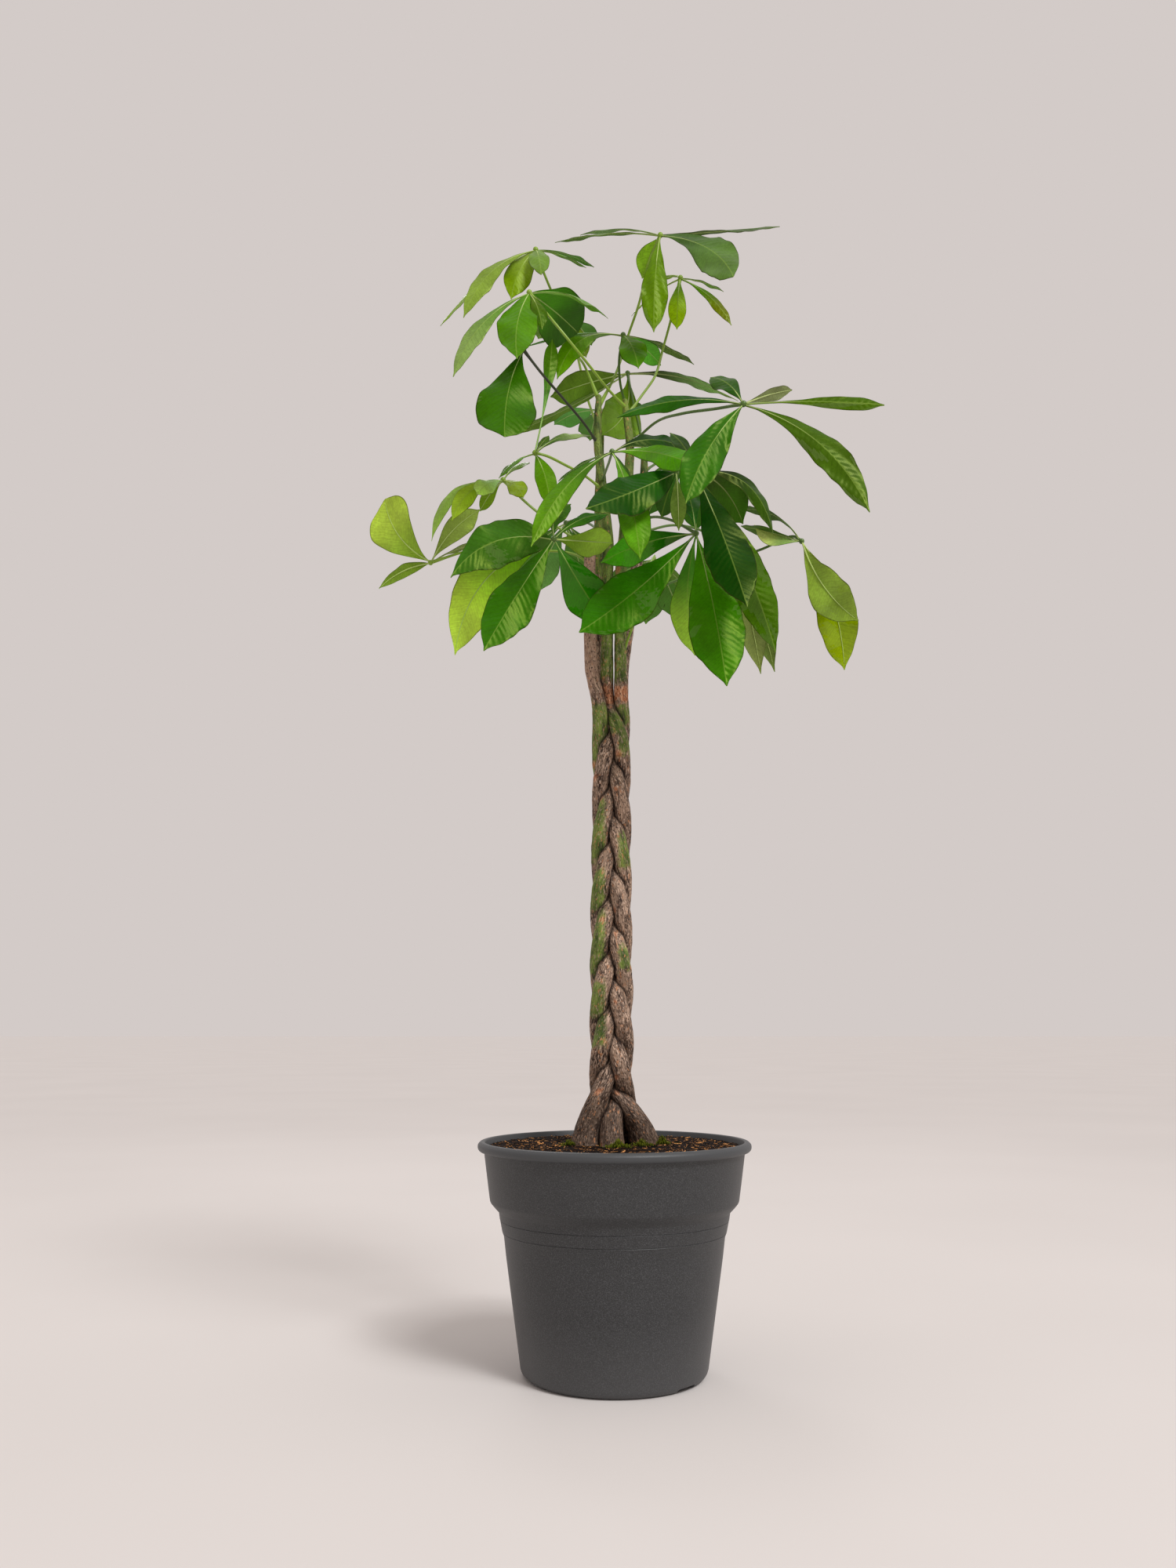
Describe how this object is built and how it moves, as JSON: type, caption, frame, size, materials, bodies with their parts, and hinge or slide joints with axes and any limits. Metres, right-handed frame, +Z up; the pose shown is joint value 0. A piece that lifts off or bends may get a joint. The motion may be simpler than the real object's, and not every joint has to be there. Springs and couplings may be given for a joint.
{
  "type": "potted money tree",
  "caption": "House plant with braided trunks and hand-shaped leaves, growing in soil in a dark grey plastic nursery pot; stands on its flat base.",
  "frame": {"origin": "middle of the pot's flat underside", "axes": "+Z up along the trunks, -Y towards the front, +X to the right seen from the front"},
  "size_m": [0.4814, 0.4155, 1.1437],
  "materials": {
    "pot_plastic": "fine-grained moulded polypropylene, dark grey",
    "potting_soil": "moist potting mix of peat, coir fibre and bark chips, loose and matte",
    "bark": "young speckled bark, grey-brown with green stretches and pinkish scars, matte",
    "leaf_green": "waxy green leaf, satin to gloss above and matte below"
  },
  "bodies": {
    "root": {"pot": "pot_plastic", "soil": "potting_soil", "trunk_right": "bark", "trunk_leader": "bark", "trunk_left_back": "bark", "trunk_left": "bark", "trunk_right_back": "bark", "leaf_top_right": "leaf_green", "leaf_top_right_young": "leaf_green", "leaf_top_left": "leaf_green", "leaf_upper_left": "leaf_green", "leaf_hanging_left": "leaf_green", "leaf_upper_middle": "leaf_green", "leaf_middle_back": "leaf_green", "leaf_right": "leaf_green", "leaf_middle_front": "leaf_green", "leaf_front_right": "leaf_green", "leaf_left": "leaf_green", "leaf_far_left": "leaf_green", "leaf_front_left": "leaf_green", "leaf_low_right": "leaf_green", "leaf_hanging_right": "leaf_green", "leaf_far_right": "leaf_green", "leaf_inner_left": "leaf_green", "leaf_back_low": "leaf_green", "leaf_back_left": "leaf_green", "leaf_back_right": "leaf_green", "leaf_back_top": "leaf_green", "leaf_back_middle": "leaf_green", "leaf_back_far_right": "leaf_green"}
  },
  "joints": []
}
